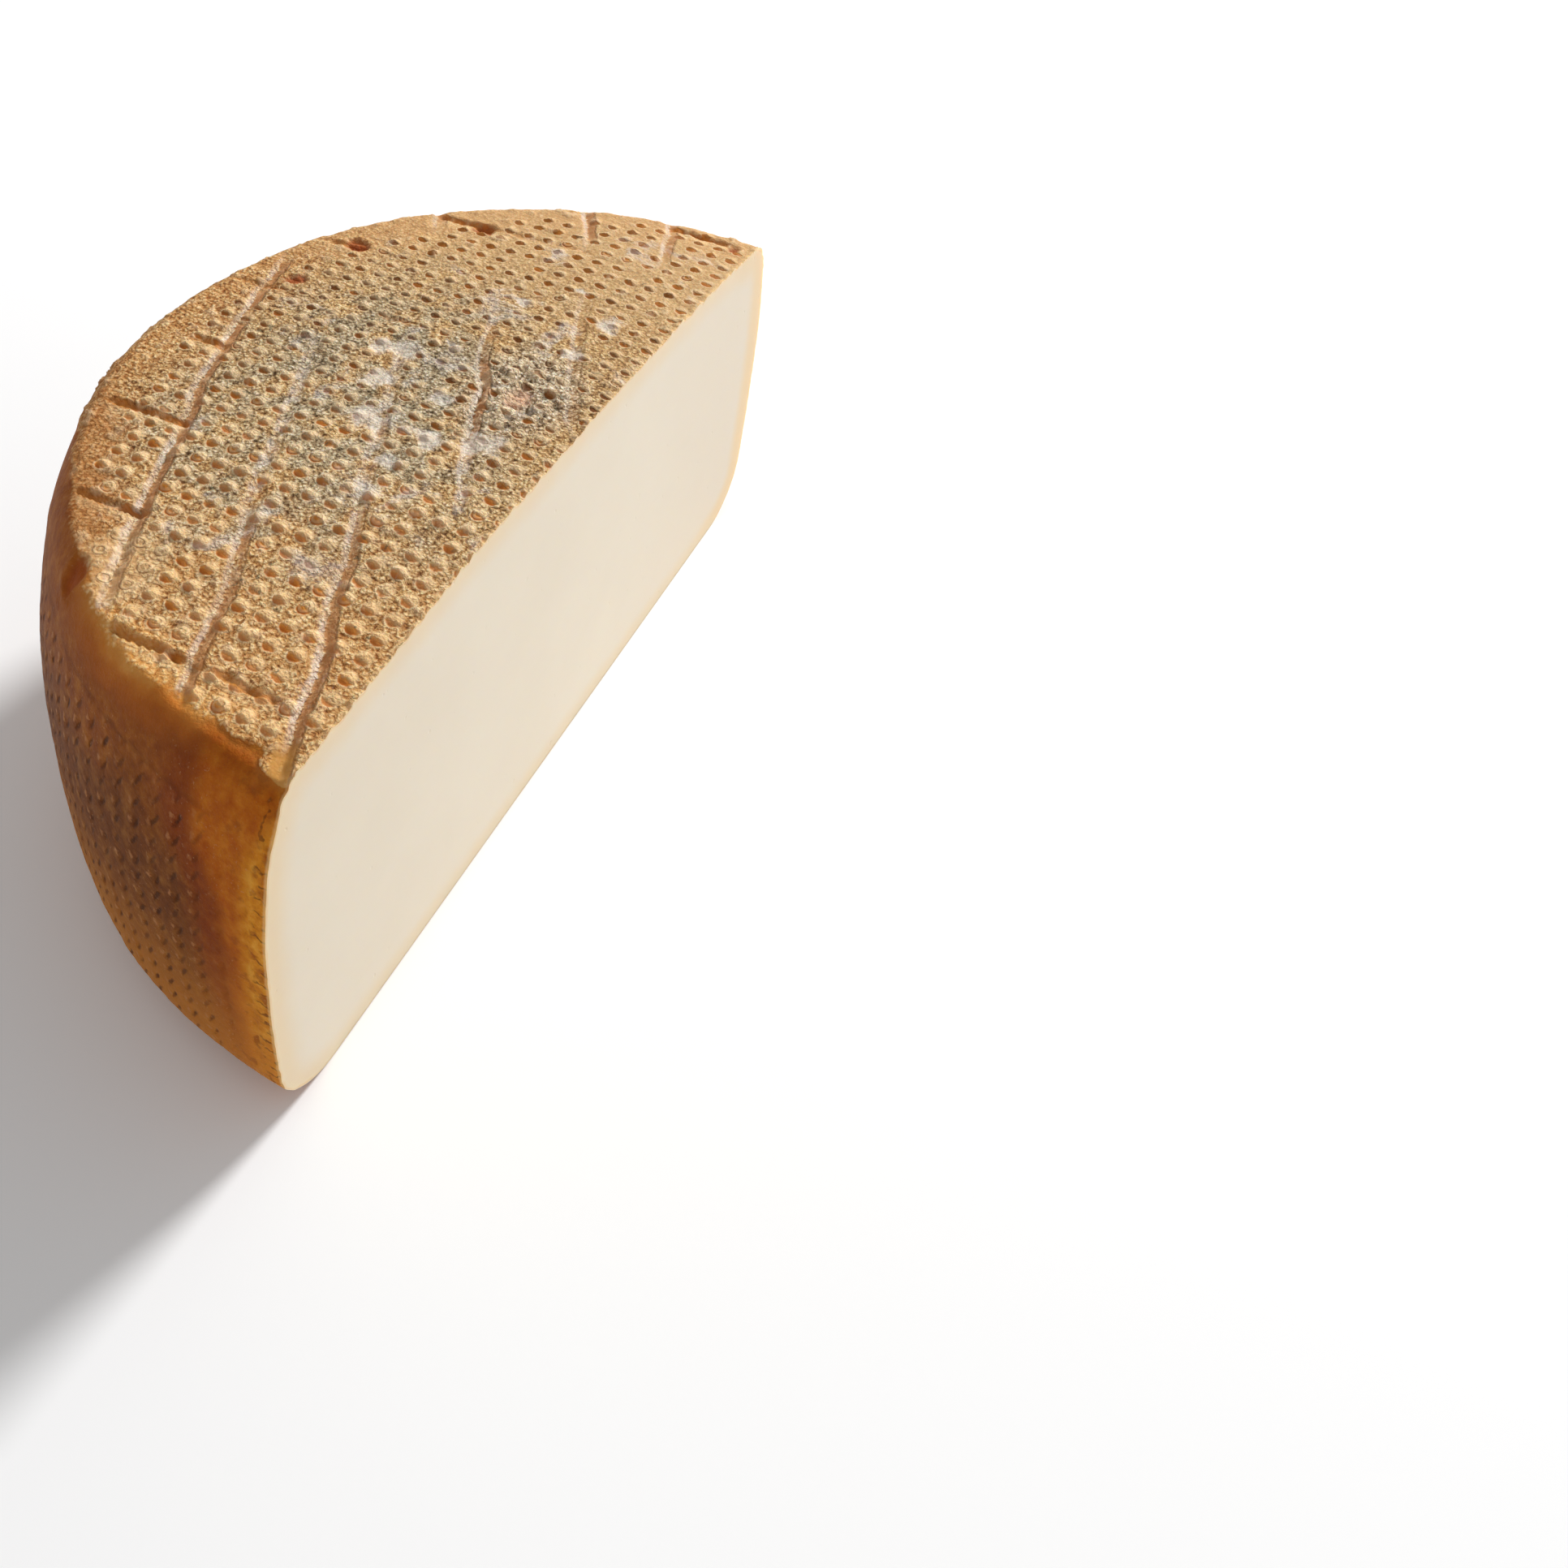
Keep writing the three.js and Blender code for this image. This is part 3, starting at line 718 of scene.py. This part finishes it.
class Graph:
    """The nodes of one material, and its colour so far."""

    def __init__(self, name):
        self.material = bpy.data.materials.new(name)
        self.material.use_nodes = True
        self.tree = self.material.node_tree
        self.tree.nodes.clear()
        self.place = self.add("ShaderNodeTexCoord").outputs["Object"]

    def add(self, kind, **settings):
        """Add a node; settings with a capital are its inputs, the others its properties."""
        node = self.tree.nodes.new(kind)
        for name, value in settings.items():
            if name[0].isupper():
                self.put(node.inputs[name.replace("_", " ")], value)
            else:
                setattr(node, name, value)
        return node

    def put(self, socket, value):
        """Link a socket to a wire or another socket, or set it to a number, vector or colour."""
        if isinstance(value, Wire):
            value = value.socket
        if isinstance(value, bpy.types.NodeSocket):
            self.tree.links.new(value, socket)
        elif socket.type == "RGBA" and len(value) == 3:
            socket.default_value = tone(*value)
        else:
            socket.default_value = value

    def math(self, operation, *values):
        node = self.add("ShaderNodeMath", operation=operation)
        for socket, value in zip(node.inputs, values):
            self.put(socket, value)
        return Wire(self, node.outputs[0])

    def fraction(self, value):
        return self.math("FRACT", value)

    def root(self, value):
        return self.math("SQRT", value)

    def mask(self, name):
        return Wire(self, self.add("ShaderNodeAttribute", attribute_name=name).outputs["Fac"])

    def vector(self, name):
        return self.add("ShaderNodeAttribute", attribute_name=name).outputs["Vector"]

    def parts(self, vector):
        return [Wire(self, socket) for socket in self.add("ShaderNodeSeparateXYZ", Vector=vector).outputs]

    def smooth(self, low, high, value):
        """A soft step from 0 at low to 1 at high; low may be the greater."""
        node = self.add("ShaderNodeMapRange", interpolation_type="SMOOTHSTEP", Value=value,
                        From_Min=min(low, high), From_Max=max(low, high),
                        To_Min=float(low > high), To_Max=float(low < high))
        return Wire(self, node.outputs["Result"])

    def noise(self, size, detail=3.0, roughness=0.55, distortion=0.0, at=None):
        """Noise about 0 to 1, with features of the given size in mm."""
        node = self.add("ShaderNodeTexNoise", Vector=at or self.place, Scale=1 / (size * MM),
                        Detail=detail, Roughness=roughness, Distortion=distortion)
        return Wire(self, node.outputs[0])

    def cells(self, size, at):
        """Distance to the nearest of many points strewn a size in mm apart, in parts of that size."""
        node = self.add("ShaderNodeTexVoronoi", feature="F1", Vector=at, Scale=1 / (size * MM))
        return Wire(self, node.outputs["Distance"])

    def vectors(self, operation, first, second):
        node = self.add("ShaderNodeVectorMath", operation=operation)
        self.put(node.inputs[0], first)
        self.put(node.inputs["Scale" if operation == "SCALE" else 1], second)
        return node.outputs[0]

    def bent(self, size, amount):
        """The place on the object, shaken by noise of a size, by an amount in mm."""
        shake = self.add("ShaderNodeTexNoise", Vector=self.place, Scale=1 / (size * MM))
        centred = self.vectors("SUBTRACT", shake.outputs["Color"], (0.5, 0.5, 0.5))
        return self.vectors("ADD", self.place, self.vectors("SCALE", centred, amount * MM))

    def mix(self, factor, first, second):
        node = self.add("ShaderNodeMix", data_type="RGBA", Factor=factor)
        self.put(node.inputs[6], first)
        self.put(node.inputs[7], second)
        return node.outputs[2]

    def coat(self, share, colour, by=None, light=None):
        """Lay a share of a colour over those so far; with a wire to go by, it turns to a light one."""
        if by is not None:
            colour = self.mix(by, colour, light)
        self.colour = self.mix(share, self.colour, colour)

    def ramp(self, factor, ramp):
        stops, *colours = ramp
        node = self.add("ShaderNodeValToRGB", Fac=factor)
        points = node.color_ramp.elements
        for _ in stops[2:]:
            points.new(0.5)
        for point, stop, colour in zip(points, stops, colours):
            point.position, point.color = stop, tone(*colour)
        return node.outputs[0]

    def bump(self, height, depth, under=None):
        """A bump of the given depth in mm for a height of 0 to 1."""
        node = self.add("ShaderNodeBump", Distance=depth * MM, Strength=1.0, Height=height)
        if under is not None:
            self.put(node.inputs["Normal"], under)
        return node.outputs[0]

    def finish(self, roughness, normal, **settings):
        shader = self.add("ShaderNodeBsdfPrincipled", Base_Color=self.colour, Roughness=roughness,
                          Normal=normal, **settings)
        self.add("ShaderNodeOutputMaterial", Surface=shader.outputs[0])
        return self.material


# The parts of the rind share one bag of wires, m: the mesh's masks and what earlier parts add


def rind_wires(g):
    """Masks, the place on the half, the place within one dome or dimple, and the grain of the crust."""
    names = ("crust plain worn luck folded fold_off seamed seam_off scar flakes flattened "
             "past haze mould crag from_cut reach")
    m = SimpleNamespace(**{name: g.mask(name) for name in names.split()})
    m.x, m.y, m.z = g.parts(g.place)
    column, m.row, _ = g.parts(g.vector("pattern"))
    m.dx = g.fraction(column + 0.5) - 0.5
    m.dy = g.fraction(m.row + 0.5) - 0.5
    m.far = g.smooth(-0.050, 0.015, m.x)
    m.calm = g.smooth(0.010, 0.085, m.x)
    m.away = g.root(m.dx * m.dx + m.dy * m.dy) * (1 + m.far * (1 / FAR_DOME_SHARE - 1))

    # light rounded ridges that wind round small hollows about a millimetre across, and grains between;
    # besides the bump they lay the crust's colours, darker in the hollows as painted shade and lighter on
    # ridges and grains as painted highlight
    bent = g.bent(1.8, 1.1)
    winding = g.noise(1.2, detail=1.5, roughness=0.5, distortion=0.4, at=bent)
    ridge = g.smooth(0.20, 0.0, abs(winding - 0.5))
    grains = g.smooth(0.75, 0.15, g.cells(0.95, at=g.bent(1.1, 0.5)))
    m.wrinkle = g.noise(0.88, detail=2, roughness=0.5, distortion=0.2, at=bent) * 0.72 + grains * 0.28
    m.frill = m.wrinkle - 0.5
    m.lumpy = g.noise(2.6, detail=1)
    fine = ridge * (0.13 - m.far * 0.04) + m.wrinkle * 0.64 + m.lumpy * 0.24
    m.fine = 0.5 + (fine - 0.5) * (1 - m.calm * 0.6)
    m.broad = g.noise(9, detail=2)
    m.patchy = g.noise(24, detail=3)
    return m


def lay_crust(g, m):
    """The crust: golden towards the rim and the near end, grey with mould left of the middle."""
    to_rim = g.smooth(84, 108, m.reach + (m.broad - 0.5) * 40)
    near_end = g.smooth(-0.030, -0.085, m.x + (m.patchy - 0.5) * 0.06)
    m.golden = g.math("MAXIMUM", to_rim * 0.8, near_end * 0.75)
    g.colour = g.mix(m.golden, g.ramp(m.fine, TAN), g.ramp(m.fine, GOLD))
    middle_x, middle_y = m.x + 0.012, m.y + 0.012
    middle = g.root(middle_x * middle_x + middle_y * middle_y * 2.2)
    m.greyed = g.smooth(0.085, 0.015, middle + (m.patchy - 0.5) * 0.07) * g.smooth(0.38, 0.58, m.broad)
    g.coat(m.greyed * 0.85, g.ramp(m.fine, GREY))
    # painted shade: the outermost crust, where it curves away from the light, is browner and darker, with
    # lighter grains
    m.outer_crust_shade = g.smooth(-15, -4, m.past + (m.broad - 0.5) * 8) * g.smooth(-0.012, 0.016, m.y)
    g.coat(m.outer_crust_shade * 0.7, (124, 66, 22), m.wrinkle, (210, 144, 80))
    brim = g.smooth(-10, 0, m.past + (m.patchy - 0.5) * 6)
    m.brim = brim * m.haze * g.smooth(0.012, -0.014, m.y) * 0.8
    g.coat(m.brim, g.ramp(m.fine, BRIGHT))
    g.coat(m.calm * 0.55, (178, 138, 92), m.wrinkle, (218, 184, 138))
    g.coat(m.crag * 0.85, g.ramp(m.fine, CRUMBS))


def dress_domes(g, m):
    """A pale crusty cap on each dome, partly a painted highlight, and smooth orange rind on its steep side,
    partly painted shade.
    """
    m.shown = (1 - m.plain) * m.crust
    ragged = m.away + m.frill * 0.08
    m.cap_and_highlight = g.smooth(0.42, 0.30, ragged) * m.shown
    lean = m.dx * DOME_STEEP[0] + m.dy * DOME_STEEP[1]
    bare_and_shaded = g.smooth(0.0, 0.17, lean - m.far * 0.04 + m.calm * 0.1 + m.frill * 0.22 + (m.luck - 0.5) * 0.1)
    m.bare_and_shaded = bare_and_shaded * g.smooth(0.38, 0.29, ragged) * m.shown * (0.72 + m.luck * 0.36 + m.far * 0.2)
    # the steep side's orange darkens towards the dome's foot and on the far domes: painted shade over the
    # waxy rind's own colour
    waxy_and_shaded = g.mix(g.smooth(0.04, 0.26, lean), (232, 154, 66), (192, 102, 20))
    waxy_and_shaded = g.mix(m.greyed * 0.5, waxy_and_shaded, (136, 100, 54))
    far_share = m.far * (0.55 + g.fraction(m.luck * 7.3) * 0.45)
    waxy_and_shaded = g.mix(far_share, waxy_and_shaded, g.mix(m.calm, (112, 66, 28), (144, 88, 30)))
    # the cap is paler crust, lightened further as a painted highlight
    g.coat(m.cap_and_highlight * (0.5 - m.far * 0.15), (236, 208, 166), m.golden, (246, 208, 150))
    g.coat(m.bare_and_shaded * 0.95, waxy_and_shaded)
    # a painted highlight along the lower lip of each dome's steep side; the same pale colour also marks
    # worn rings
    lip_highlight = g.smooth(0.31, 0.345, ragged) * g.smooth(0.44, 0.38, ragged) * g.smooth(0.0, 0.15, lean) * m.shown
    g.coat(lip_highlight * 0.3, PALE_AND_HIGHLIGHT)
    # worn and flattened domes leave rings
    ringed = g.smooth(0.82, 0.90, m.luck + m.worn * 0.30 - m.far * 0.25)
    ringed = g.math("MAXIMUM", ringed * m.shown, m.flattened * m.crust)
    m.ring = g.smooth(0.13, 0.20, m.away) * g.smooth(0.31, 0.24, m.away) * ringed
    g.coat(m.ring * 0.3, PALE_AND_HIGHLIGHT)


def dress_creases(g, m):
    """Creases of the cloth, seams of the mould, scars and torn edges."""
    shaken = m.fold_off + m.frill * 0.8
    strong = g.smooth(0.30, 0.7, m.folded)
    # the brown band on a fold's shaded flank is painted shade over bare rind; the whitish lip on its lit
    # flank is mould with a painted highlight
    m.shaded_groove = g.smooth(0.25, -0.25, shaken) * g.smooth(-2.4, -1.7, shaken) * g.smooth(0.0, 0.8, m.folded)
    mould_and_highlight_lip = g.smooth(-0.1, 0.4, shaken) * g.smooth(1.7, 0.9, shaken) * m.folded
    m.dusting = g.smooth(0.42, 0.58, g.noise(5, detail=4, roughness=0.65))
    dusty = g.smooth(2.0, 0.7, abs(shaken)) * g.smooth(0.0, 0.12, m.folded) * (1 - strong)
    dusty = dusty * g.smooth(0.010, -0.010, m.x + (m.broad - 0.5) * 0.04)
    seam_shaken = m.seam_off + m.frill * 0.5
    seam_upper = m.seam_off + m.frill * 1.0 + (m.lumpy - 0.5) * 2.6
    # the orange on the seam's step face, which faces away from the light, is painted shade over waxy rind
    m.shaded_trench = g.smooth(-1.7, -0.7, seam_upper) * g.smooth(0.5, 0.15, seam_shaken) * m.seamed
    ledge = g.smooth(0.3, 0.9, m.seam_off) * g.smooth(4.0, 1.5, m.seam_off) * m.seamed
    g.coat(dusty * m.dusting * 0.5, (192, 178, 166), m.wrinkle, (238, 228, 216))
    g.coat(m.shaded_groove * strong * 0.8, (172, 112, 66), m.broad, (196, 138, 92))
    # the furrow that runs down to the near corner is bare and smooth
    furrow = g.smooth(2.8, 1.8, abs(shaken - 0.2)) * g.smooth(-0.098, -0.104, m.x) * strong
    m.corner_furrow = furrow * g.smooth(0.028, 0.020, m.y)
    g.coat(m.corner_furrow * 0.9, (194, 134, 62), m.broad, (214, 162, 90))
    mould_and_highlight_lip = mould_and_highlight_lip * (0.35 + m.dusting * 0.35) * (1 - m.corner_furrow)
    g.coat(mould_and_highlight_lip, (218, 196, 176), m.wrinkle, (244, 230, 216))
    g.coat(ledge * 0.4 + m.flattened * 0.35, (212, 168, 112), m.wrinkle, (240, 210, 162))
    g.coat(m.shaded_trench * 0.85, (160, 80, 22), m.lumpy, (218, 142, 62))
    g.coat(m.scar * 0.85, g.mix(m.crag, g.mix(m.lumpy, *WOUND), (222, 176, 144)))
    g.coat(m.flakes * 0.3, (236, 210, 170))
    torn = g.smooth(1.2, 0.2, m.from_cut + m.frill * 2.0) * m.crust
    g.coat(torn * 0.7, (210, 160, 96), m.wrinkle, (252, 228, 178))


def lay_mould(g, m):
    """White mould in a haze and in patches, and grey-green specks."""
    cloudy = g.noise(13, detail=5, roughness=0.65, distortion=0.5)
    white = g.smooth(0.58, 0.70, cloudy + m.greyed * 0.05) * m.crust * g.smooth(105, 85, m.reach)
    g.coat(white * 0.4, (190, 180, 172), m.fine, (240, 234, 228))
    m.fluff = g.smooth(0.15, 0.95, m.mould + m.frill * 0.35 + (m.dusting - 0.5) * 0.35)
    g.coat(m.fluff * 0.65, (196, 184, 168), m.wrinkle, (244, 236, 224))
    specks = g.smooth(0.62, 0.68, g.noise(1.7, detail=2)) * g.smooth(0.46, 0.60, g.noise(17, detail=2))
    specks = specks * m.crust
    g.coat(specks * 0.6 * g.smooth(108, 90, m.reach), (104, 98, 74))


def lay_waxy_rind(g, m):
    """Smooth waxy rind of the shoulder and side."""
    mottle = g.noise(3.5, detail=5, roughness=0.65)
    streak = g.noise(16, detail=2, roughness=0.5)
    wobble = g.noise(1.5, detail=2, roughness=0.6) - 0.5
    uneven = mottle - 0.5
    wander = (streak - 0.5) * 0.03 + uneven * 0.008
    g.colour = g.mix(g.smooth(0.064, 0.092, m.z + wander), g.ramp(mottle, MUTED), g.ramp(mottle, SHOULDER))
    # red, orange and amber towards the cut, further out near the top
    near_cut = m.from_cut + (streak - 0.5) * 10 + uneven * 3
    corner = g.smooth(0.060, 0.085, m.z) * 10
    g.coat(g.smooth(22, 12, near_cut - corner), g.ramp(mottle, RED))
    g.coat(g.smooth(12, 6, near_cut - corner), g.ramp(mottle, ORANGE))
    nearest = m.from_cut + uneven * 4 + g.smooth(0.080, 0.092, m.z) * 5
    g.coat(g.smooth(8, 3.2, nearest), g.ramp(mottle, AMBER))
    g.coat(g.smooth(0.060, 0.006, m.z) * 0.75, (212, 131, 44))
    g.coat(m.calm * 0.6, (142, 96, 54))

    # a dimple has a dark comma of painted shadow on one side and a light fleck of painted highlight on the
    # other; each is a bit different
    clear = g.smooth(120, 128, m.reach) * g.smooth(8, 22, m.from_cut)
    other = g.fraction(m.luck * 5.7)
    comma_x, comma_y = m.dx + (m.luck - 0.5) * 0.16 - m.dy * 0.4, m.dy + (other - 0.5) * 0.24
    dimple_shadow = g.root(comma_x * comma_x * 8 + comma_y * comma_y * 0.45) + wobble * 0.42
    m.dimple = g.smooth(0.36, 0.08, dimple_shadow) * clear * (0.5 + other * 0.5)
    g.coat(m.dimple * (0.85 - m.calm * 0.45), (70, 32, 10))
    fleck_x, fleck_y = m.dx - 0.30, m.dy - 0.16 + (m.luck - 0.5) * 0.3
    fleck = g.root(fleck_x * fleck_x * 3 + fleck_y * fleck_y) + (g.noise(0.9, detail=2) - 0.5) * 0.6
    m.fleck = g.smooth(0.24, 0.06, fleck) * clear * (0.3 + m.luck * 0.7)
    g.coat(m.fleck * 0.6, (200, 136, 86))

    # short ticks along the cut, dark blotches near it, and light freckles
    tick = abs(g.fraction(m.row * 1.5) - 0.5 + (g.noise(1.6, detail=1) - 0.5) * 0.8)
    tick = g.smooth(0.13, 0.05, tick) * g.smooth(4.0, 2.2, m.from_cut + wobble * 3)
    tick = tick * g.smooth(0.40, 0.50, g.noise(3, detail=1))
    g.coat(tick * 0.7, (96, 50, 8))
    blotch = g.smooth(0.52, 0.66, g.noise(4.5, detail=4, roughness=0.6)) * g.smooth(16, 6, m.from_cut)
    g.coat(blotch * 0.55, (140, 68, 12))
    m.freckle = g.smooth(0.66, 0.75, g.noise(0.7, detail=1)) * g.smooth(0.42, 0.6, streak)
    g.coat(m.freckle * 0.30, (214, 160, 120))
    # a pale hairline where rind meets paste
    g.coat(g.smooth(0.9, 0.3, m.from_cut + wobble * 0.6) * 0.6, (240, 200, 132))

    # a painted shadow under the crust where its border is sharp; then pale amber where the crust thins out,
    # turning to orange further down
    sharp_edge = g.smooth(0.092, 0.098, m.z) * g.smooth(0.7, 0.2, m.haze)
    g.coat(sharp_edge * 0.3, (120, 62, 14))
    stretch = m.past + uneven * 5 + (streak - 0.5) * 5
    halo = g.smooth(13, 7, stretch) * g.smooth(0.2, 0.75, m.haze) * g.smooth(0.016, -0.014, m.y)
    g.coat(halo, g.ramp(stretch * (1 / HALO_WIDTH), HALO))
    thin_halo = g.smooth(3, 0, m.past + uneven * 3) * g.smooth(0.7, 0.15, m.haze)
    g.coat(thin_halo * 0.2, (226, 158, 76))
    g.coat(m.scar * 0.7, g.mix(m.lumpy, *WOUND))


def rind_material():
    g = Graph("cheese_rind")
    m = rind_wires(g)
    lay_crust(g, m)
    dress_domes(g, m)
    dress_creases(g, m)
    lay_mould(g, m)
    top = g.colour
    lay_waxy_rind(g, m)
    g.coat(g.smooth(0.35, 0.85, m.crust + m.frill * 0.6), top)

    roughness = 0.65 + m.crust * 0.15 - m.bare_and_shaded * 0.2
    crusty = m.crust
    for name, share in SMOOTHERS.items():
        crusty = crusty * (1 - getattr(m, name) * share)
    crusty = crusty * (1 + m.crag * 0.5)
    grain = g.noise(0.45, detail=1)
    normal = g.bump((m.fine + grain * 0.05) * crusty, 1.4)
    normal = g.bump(m.ring + g.smooth(0.42, 0.33, m.away) * m.shown * 0.8, 0.2, under=normal)
    waxiness = g.noise(1.2, detail=4, roughness=0.65) * (1 - m.crust)
    waxiness = waxiness - m.dimple * 0.8 + m.fleck * 0.4 + m.freckle * 0.15
    normal = g.bump(waxiness, 0.4, under=normal)
    return g.finish(roughness, normal, Subsurface_Weight=0.3, Subsurface_Radius=(1.0, 0.42, 0.16),
                    Subsurface_Scale=0.0018, Specular_IOR_Level=0.12)


def paste_material():
    """Ivory paste, more golden near the rind and at the far end, with faint marks of the knife."""
    g = Graph("cheese_paste")
    depth = g.mask("depth")
    x, _, _ = g.parts(g.place)
    g.colour = g.mix(g.noise(30, detail=3), (225, 211, 188), (231, 219, 198))
    g.coat(g.smooth(0.02, 0.11, x), (222, 207, 184))
    end = g.smooth(0.085, 0.122, x) + g.smooth(-0.10, -0.122, x) * 0.2
    edge = depth + (g.noise(7, detail=3) - 0.5) * 2.5
    blush = g.smooth(9, 1.0, edge - end * 4)
    g.coat(blush * (0.45 + end * 0.35), (228, 196, 142))
    g.coat(g.smooth(0.9, 0.2, depth + (g.noise(3) - 0.5)) * 0.6, (222, 176, 118))
    drag = g.add("ShaderNodeMapping", Vector=g.place, Scale=(0.12, 1, 1), Rotation=(0, 0.5, 0))
    marks = g.noise(2.0, detail=3, at=drag.outputs[0])
    pits = g.smooth(0.26, 0.19, g.noise(2.6, detail=1))
    normal = g.bump(pits * -1.0, 0.12, under=g.bump(marks, 0.06))
    return g.finish(0.42, normal, Subsurface_Weight=0.6, Subsurface_Radius=(1.0, 0.75, 0.45),
                    Subsurface_Scale=0.004)


# ---- Floor, light and camera

FLOOR_SIZE, FLOOR_DROP = 8, 0.0002   # metres
LIGHT_AIM = (0, 0, 0.06)
SKY_STRENGTH = 0.46
CAMERA_PLACE = np.array([-231.8, -95.3, 292.1])
CAMERA_AIM = np.array([-25.0, -59.05, 50.0])
CAMERA_LEAN = np.radians(15.1)
CAMERA_LENS = 31.98


def make_floor():
    g = Graph("studio_floor")
    g.colour = g.mix(g.noise(300, detail=1), (0.93, 0.93, 0.93, 1), (0.95, 0.95, 0.95, 1))
    material = g.finish(0.9, g.bump(g.noise(40, detail=2), 0.02))
    bpy.ops.mesh.primitive_plane_add(size=FLOOR_SIZE)
    floor = bpy.context.object
    floor.name = "studio_floor"
    floor.location.z = -FLOOR_DROP
    floor.data.materials.append(material)


def make_lamp(name, place, size, power):
    lamp = bpy.data.lights.new(name, "AREA")
    lamp.shape, lamp.size, lamp.energy = "DISK", size, power
    holder = bpy.data.objects.new(name, lamp)
    holder.location = place
    holder.rotation_mode = "QUATERNION"
    holder.rotation_quaternion = (Vector(LIGHT_AIM) - Vector(place)).to_track_quat("-Z", "Y")
    bpy.context.scene.collection.objects.link(holder)


def make_light():
    world = bpy.data.worlds.new("studio")
    world.use_nodes = True
    background = world.node_tree.nodes["Background"]
    background.inputs["Color"].default_value = (1, 1, 1, 1)
    background.inputs["Strength"].default_value = SKY_STRENGTH
    bpy.context.scene.world = world
    make_lamp("key", (2.20, -0.52, 1.38), 0.6, 80)
    make_lamp("fill", (-0.1, -1.6, 0.6), 1.2, 1.0)
    bpy.context.scene.view_settings.view_transform = "Standard"


def make_camera(shift):
    """The camera that took the photo, for a wheel shifted by so much in mm."""
    scene = bpy.context.scene
    data = bpy.data.cameras.new("camera")
    data.lens, data.sensor_width = CAMERA_LENS, 36
    data.clip_start, data.clip_end = 0.02, 50
    camera = bpy.data.objects.new("camera", data)
    scene.collection.objects.link(camera)
    forward = CAMERA_AIM - CAMERA_PLACE
    forward /= np.linalg.norm(forward)
    right = np.cross(forward, (0, 0, 1))
    right /= np.linalg.norm(right)
    up = np.cross(right, forward)
    up = up * np.cos(CAMERA_LEAN) - right * np.sin(CAMERA_LEAN)
    right = np.cross(forward, up)
    turn = Matrix(np.stack([right, up, -forward], 1).tolist()).to_4x4()
    camera.matrix_world = Matrix.Translation(Vector((CAMERA_PLACE - shift) * MM)) @ turn
    scene.camera = camera


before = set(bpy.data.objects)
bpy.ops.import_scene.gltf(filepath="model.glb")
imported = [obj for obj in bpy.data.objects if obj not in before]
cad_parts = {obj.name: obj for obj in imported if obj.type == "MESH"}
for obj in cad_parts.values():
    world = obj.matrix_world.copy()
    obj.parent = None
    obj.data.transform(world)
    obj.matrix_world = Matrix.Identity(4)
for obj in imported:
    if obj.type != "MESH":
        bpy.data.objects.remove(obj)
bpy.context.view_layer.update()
low, high = (np.array(corner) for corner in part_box("cheese_half"))
half = make_half(low, high)
half.data.materials.append(rind_material())
half.data.materials.append(paste_material())
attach(half, "root")
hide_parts("cheese_half")
make_floor()
make_light()
make_camera(np.array([0, CUT_OFFSET - low[1] / MM, 0]))
